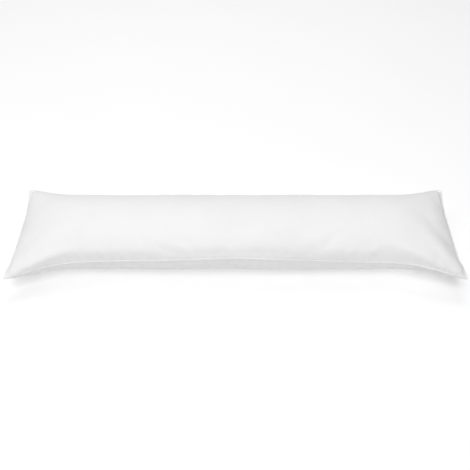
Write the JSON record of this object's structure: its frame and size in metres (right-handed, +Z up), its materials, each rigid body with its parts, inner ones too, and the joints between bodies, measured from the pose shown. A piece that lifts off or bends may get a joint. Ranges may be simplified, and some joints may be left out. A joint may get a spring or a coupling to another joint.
{
  "type": "body pillow",
  "caption": "Long filled body pillow with a full, rounded crown, gently drawn-in sides, pointed corners and a narrow sewn edge all round. It lies flat on its back.",
  "frame": {"origin": "middle of the footprint, on the surface that the pillow lies on", "axes": "+X along the pillow, +Z up, and -Y towards the front edge, whose seam runs a little lower at its corners"},
  "size_m": [1.4162, 0.382, 0.18],
  "materials": {
    "cotton": "matte"
  },
  "bodies": {
    "root": {"pillow": "cotton"}
  },
  "joints": []
}
